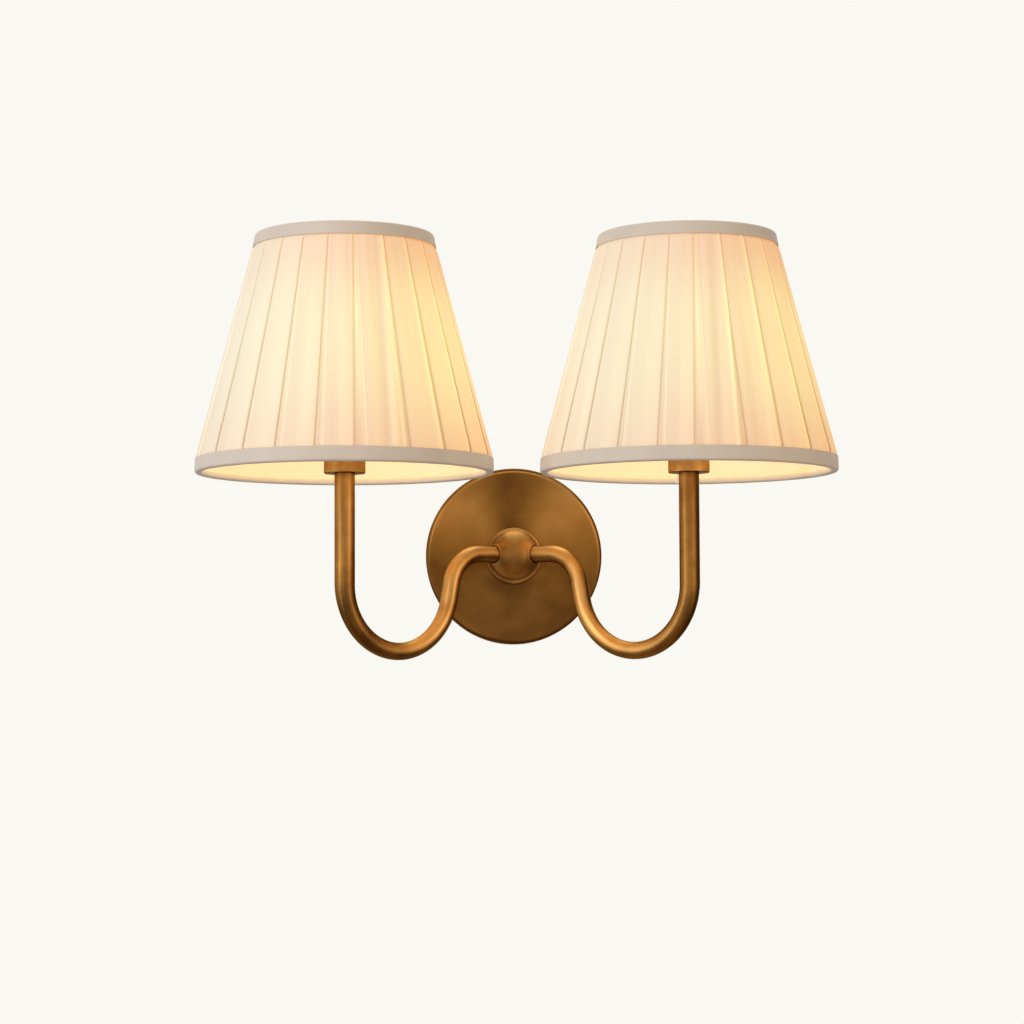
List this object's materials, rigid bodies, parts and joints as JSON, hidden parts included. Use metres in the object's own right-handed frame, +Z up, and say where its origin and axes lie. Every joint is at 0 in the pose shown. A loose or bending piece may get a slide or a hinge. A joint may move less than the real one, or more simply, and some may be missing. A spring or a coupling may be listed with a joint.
{
  "type": "double arm wall sconce",
  "caption": "Wall light with a round brass backplate, a domed hub, two U-bent tube arms and box-pleated empire shades over candle bulbs.",
  "frame": {"origin": "on the wall plane, at the backplate's centre, midway between the bracket's two wall screw slots", "axes": "+Z up; -Y out of the wall towards the room, +Y into the wall; +X to the right for someone facing the sconce"},
  "size_m": [0.4346, 0.2273, 0.2869],
  "materials": {
    "aged_brass": "aged, hand-rubbed, satin",
    "raw_brass": "plain machined",
    "zinc_steel": "bright zinc plated",
    "terminal_plastic": "moulded, translucent white",
    "lead_sheath": "smooth clear sheath",
    "holder_plastic": "moulded, satin",
    "contact_plastic": "moulded ceramic-white",
    "white_wire": "white coated wire",
    "shade_lining": "smooth cream lining, lit from inside",
    "pleated_cloth": "fine ivory cloth in box pleats, lit from inside",
    "rim_tape": "smooth greige binding tape",
    "plated_cap": "nickel plated",
    "cap_insulator": "black moulded",
    "bulb_glass": "frosted",
    "stem_glass": "clear",
    "filament": "warm phosphor coating"
  },
  "bodies": {
    "sconce": {"wall_bracket": "zinc_steel", "backplate": "aged_brass", "plate_screws": "aged_brass", "hub": "aged_brass", "arm_screws": "zinc_steel", "hub_nipple": "zinc_steel", "hub_washer": "zinc_steel", "hub_nut": "raw_brass", "terminal_block": "terminal_plastic", "terminal_barrels": "raw_brass", "terminal_screws": "zinc_steel", "earth_washer": "raw_brass", "earth_screw": "raw_brass", "left_arm": "aged_brass", "left_lead": "lead_sheath", "left_arm_bush": "raw_brass", "left_holder_cup": "aged_brass", "left_holder_base": "holder_plastic", "left_holder_skirt": "holder_plastic", "left_contact_block": "contact_plastic", "left_screw_shell": "raw_brass", "left_centre_contact": "raw_brass", "right_arm": "aged_brass", "right_lead": "lead_sheath", "right_arm_bush": "raw_brass", "right_holder_cup": "aged_brass", "right_holder_base": "holder_plastic", "right_holder_skirt": "holder_plastic", "right_contact_block": "contact_plastic", "right_screw_shell": "raw_brass", "right_centre_contact": "raw_brass"},
    "left_shade": {"left_shade_fitter": "white_wire", "left_shade_bottom_wire": "white_wire", "left_shade_top_wire": "white_wire", "left_shade_lining": "shade_lining", "left_shade_cover": "pleated_cloth", "left_shade_bottom_tape": "rim_tape", "left_shade_top_tape": "rim_tape"},
    "left_shade_ring_body": {"left_shade_ring": "holder_plastic"},
    "left_bulb": {"left_bulb_cap": "plated_cap", "left_bulb_contact": "cap_insulator", "left_bulb_glass": "bulb_glass", "left_bulb_stem": "stem_glass", "left_bulb_filaments": "filament"},
    "right_shade": {"right_shade_fitter": "white_wire", "right_shade_bottom_wire": "white_wire", "right_shade_top_wire": "white_wire", "right_shade_lining": "shade_lining", "right_shade_cover": "pleated_cloth", "right_shade_bottom_tape": "rim_tape", "right_shade_top_tape": "rim_tape"},
    "right_shade_ring_body": {"right_shade_ring": "holder_plastic"},
    "right_bulb": {"right_bulb_cap": "plated_cap", "right_bulb_contact": "cap_insulator", "right_bulb_glass": "bulb_glass", "right_bulb_stem": "stem_glass", "right_bulb_filaments": "filament"}
  },
  "joints": [
    {"name": "left_shade_turn", "type": "hinge", "parent": "sconce", "child": "left_shade", "pos_m": [-0.116, -0.126, 0.0732], "axis": [0, 0, 1], "continuous": true},
    {"name": "left_ring_turn", "type": "hinge", "parent": "sconce", "child": "left_shade_ring_body", "pos_m": [-0.116, -0.126, 0.0766], "axis": [0, 0, 1], "continuous": true},
    {"name": "left_bulb_out", "type": "slide", "parent": "sconce", "child": "left_bulb", "axis": [0, 0, 1], "range_m": [0, 0.14]},
    {"name": "right_shade_turn", "type": "hinge", "parent": "sconce", "child": "right_shade", "pos_m": [0.116, -0.126, 0.0732], "axis": [0, 0, 1], "continuous": true},
    {"name": "right_ring_turn", "type": "hinge", "parent": "sconce", "child": "right_shade_ring_body", "pos_m": [0.116, -0.126, 0.0766], "axis": [0, 0, 1], "continuous": true},
    {"name": "right_bulb_out", "type": "slide", "parent": "sconce", "child": "right_bulb", "axis": [0, 0, 1], "range_m": [0, 0.14]}
  ]
}
